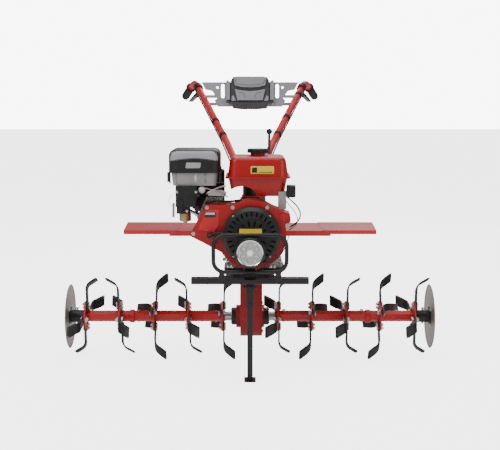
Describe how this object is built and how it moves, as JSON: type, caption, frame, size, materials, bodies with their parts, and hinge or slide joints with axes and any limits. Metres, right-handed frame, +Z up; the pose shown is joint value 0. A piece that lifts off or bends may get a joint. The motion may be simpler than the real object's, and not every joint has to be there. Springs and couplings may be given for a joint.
{
  "type": "rotary tiller",
  "caption": "Walk-behind petrol rotary tiller with bladed tine rotors on a hex-bore shaft, chain gearbox, V handlebar with console, fenders, headlight bumper and fold-up stand.",
  "frame": {"origin": "on the ground, under the middle of the overall box", "axes": "+X left to right along the rotor axle seen from the front, +Y from the headlight back to the grips, +Z up"},
  "size_m": [1.4014, 1.6198, 1.098],
  "materials": {
    "tank_red": "gloss",
    "fender_red": "gloss",
    "handlebar_red": "gloss",
    "shaft_red": "gloss",
    "gearbox_red": "satin",
    "tine_black": "satin, worn edges",
    "black_metal": "satin",
    "disc_zinc": "galvanised",
    "zinc_bolt": "bright zinc",
    "bright_steel": "machined",
    "dark_steel": "satin",
    "cast_alloy": "as cast",
    "cast_iron_grey": "machined",
    "lamp_chrome": "polished",
    "lamp_glass": "clear",
    "black_plastic": "satin",
    "bowl_grey": "smoked",
    "filter_foam": "matt",
    "brass_bowl": "satin",
    "switch_red": "gloss",
    "grip_rubber": "matt",
    "console_silver": "metallic",
    "cable_rubber": "satin"
  },
  "bodies": {
    "chassis": {"gearbox_case": "gearbox_red", "gearbox_side_cover": "gearbox_red", "axle_seal_flanges": "black_metal", "shaft_bearings": "bright_steel", "drive_chain": "dark_steel", "clutch_housing": "cast_alloy", "engine_frame": "black_metal", "bumper_loop": "black_metal", "bumper_brackets": "black_metal", "headlight_housing": "lamp_chrome", "headlight_lens": "lamp_glass", "stand_bracket": "black_metal", "fenders_left": "fender_red", "fenders_right": "fender_red", "fender_brackets": "fender_red", "engine_block": "cast_alloy", "crankcase_cover": "cast_alloy", "cylinder_head": "cast_alloy", "valve_cover": "dark_steel", "spark_plug": "bright_steel", "fan_shroud": "tank_red", "recoil_cover": "black_plastic", "fuel_tank": "tank_red", "air_cleaner_bowl": "bowl_grey", "air_cleaner_lid": "black_plastic", "filter_element": "filter_foam", "carburettor": "black_plastic", "sediment_bowl": "brass_bowl", "muffler": "dark_steel", "casing_bolts": "zinc_bolt"},
    "rotor": {"output_shaft": "bright_steel", "tine_shafts_inner": "shaft_red", "tine_shafts_outer": "shaft_red", "tine_blades": "tine_black", "rotor_fasteners": "zinc_bolt", "guard_discs": "disc_zinc"},
    "cross_gear": {"cross_shaft": "bright_steel"},
    "input_gear": {"input_shaft": "bright_steel"},
    "crank": {"crankshaft_flywheel": "cast_iron_grey"},
    "starter": {"starter_pulley": "black_plastic"},
    "pull_grip": {"recoil_grip": "black_plastic"},
    "stand": {"stand_socket": "black_metal", "stand_leg": "black_metal"},
    "filler_cap": {"tank_cap": "black_plastic"},
    "choke": {"choke_lever": "black_plastic"},
    "fuel_tap": {"fuel_tap_lever": "black_plastic"},
    "switch": {"engine_switch": "switch_red"},
    "swivel": {"handlebar_swivel_head": "black_metal"},
    "gear_selector": {"shift_lever": "dark_steel"},
    "handlebar": {"handlebar_yoke": "handlebar_red", "handlebar_pivot_bolt": "zinc_bolt", "handlebar_tube_left": "handlebar_red", "handlebar_tube_right": "handlebar_red", "grips": "grip_rubber", "console_plate": "console_silver", "console_panel": "console_silver", "lever_clamps": "black_metal", "handlebar_cables": "cable_rubber"},
    "clutch_hand": {"clutch_lever": "black_metal"},
    "throttle_hand": {"throttle_lever": "black_metal"}
  },
  "joints": [
    {"name": "rotor_spin", "type": "hinge", "parent": "chassis", "child": "rotor", "pos_m": [0, -0.27792, 0.15979], "axis": [1, 0, 0], "continuous": true},
    {"name": "cross_spin", "type": "hinge", "parent": "chassis", "child": "cross_gear", "pos_m": [0, -0.27792, 0.52492], "axis": [1, 0, 0], "continuous": true},
    {"name": "input_spin", "type": "hinge", "parent": "chassis", "child": "input_gear", "pos_m": [0.006, -0.27792, 0.52492], "axis": [0, 1, 0], "continuous": true},
    {"name": "crank_spin", "type": "hinge", "parent": "chassis", "child": "crank", "pos_m": [0.006, -0.47792, 0.52492], "axis": [0, 1, 0], "continuous": true},
    {"name": "starter_rope", "type": "slide", "parent": "chassis", "child": "pull_grip", "axis": [-1, 0, 0], "range_m": [0, 0.35], "stiffness_N_per_m": 20, "springref_m": -0.5},
    {"name": "starter_spin", "type": "hinge", "parent": "chassis", "child": "starter", "pos_m": [0.006, -0.66892, 0.52492], "axis": [0, 1, 0], "range_deg": [-350, 350]},
    {"name": "stand_pivot", "type": "hinge", "parent": "chassis", "child": "stand", "pos_m": [0, -0.62992, 0.33792], "axis": [-1, 0, 0], "range_deg": [0, 90]},
    {"name": "cap_turn", "type": "hinge", "parent": "chassis", "child": "filler_cap", "pos_m": [0.028, -0.48292, 0.81], "axis": [0, 0, 1], "range_deg": [0, 90]},
    {"name": "choke_swing", "type": "hinge", "parent": "chassis", "child": "choke", "pos_m": [-0.208, -0.61822, 0.658], "axis": [0, 1, 0], "range_deg": [0, 30]},
    {"name": "fuel_tap_swing", "type": "hinge", "parent": "chassis", "child": "fuel_tap", "pos_m": [-0.244, -0.61822, 0.64], "axis": [0, -1, 0], "range_deg": [0, 75]},
    {"name": "switch_turn", "type": "hinge", "parent": "chassis", "child": "switch", "pos_m": [0.118, -0.64992, 0.58891], "axis": [0, 1, 0], "range_deg": [0, 60]},
    {"name": "handlebar_swivel", "type": "hinge", "parent": "chassis", "child": "swivel", "pos_m": [0, -0.24792, 0.65], "axis": [0, 0, 1], "range_deg": [-25, 25]},
    {"name": "gear_select", "type": "hinge", "parent": "swivel", "child": "gear_selector", "pos_m": [0.07, -0.24792, 0.6503], "axis": [1, 0, 0], "range_deg": [-12, 4]},
    {"name": "handlebar_height", "type": "hinge", "parent": "swivel", "child": "handlebar", "pos_m": [0, -0.15992, 0.672], "axis": [1, 0, 0], "range_deg": [-12, 12]},
    {"name": "clutch_squeeze", "type": "hinge", "parent": "handlebar", "child": "clutch_hand", "pos_m": [-0.2409, 0.5859, 1.01897], "axis": [0.9515, 0.3074, 0.0128], "range_deg": [0, 11], "stiffness_Nm_per_rad": 1.5, "springref_deg": -22.92},
    {"name": "throttle_squeeze", "type": "hinge", "parent": "handlebar", "child": "throttle_hand", "pos_m": [0.2409, 0.5859, 1.01897], "axis": [0.9515, -0.3074, -0.0128], "range_deg": [0, 11], "stiffness_Nm_per_rad": 1.5, "springref_deg": -22.92}
  ],
  "couplings": [
    {"joint": "cross_spin", "follows": "rotor_spin", "ratio": 1},
    {"joint": "input_spin", "follows": "rotor_spin", "ratio": 2.5},
    {"joint": "starter_spin", "follows": "starter_rope", "rad_per_m": 17.241}
  ]
}
